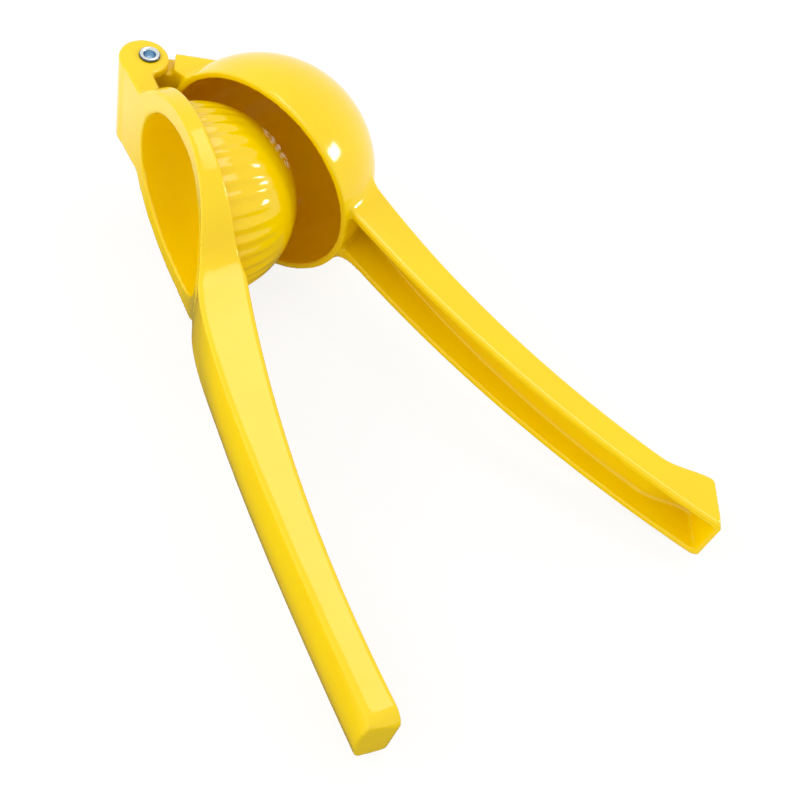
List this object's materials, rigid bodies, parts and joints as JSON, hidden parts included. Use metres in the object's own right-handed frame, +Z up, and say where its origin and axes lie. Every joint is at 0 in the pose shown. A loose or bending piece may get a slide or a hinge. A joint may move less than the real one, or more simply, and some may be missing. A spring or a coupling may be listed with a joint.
{
  "type": "hinged lemon squeezer",
  "caption": "Hand-held lemon squeezer: perforated round bowl and fluted dome press on two channel handles turning on a hollow rivet, lying on its side, part open.",
  "frame": {"origin": "middle of the bounding box at the ground plane, with the tool lying on its side", "axes": "+Z up, +X along the tool from the hinge towards the handle tips, +Y towards the side that the bowl bulges to"},
  "size_m": [0.2247, 0.1234, 0.0701],
  "materials": {
    "yellow_enamel": "gloss",
    "zinc_rivet": "satin"
  },
  "bodies": {
    "bowl_arm": {"bowl_arm": "yellow_enamel"},
    "press_arm": {"press_arm": "yellow_enamel", "hinge_rivet": "zinc_rivet"}
  },
  "joints": [
    {"name": "arm_hinge", "type": "hinge", "parent": "bowl_arm", "child": "press_arm", "pos_m": [-0.10204, 0.01291, 0.04161], "axis": [0.1486, 0.0162, 0.9888], "range_deg": [-101.7, 28.3]}
  ]
}
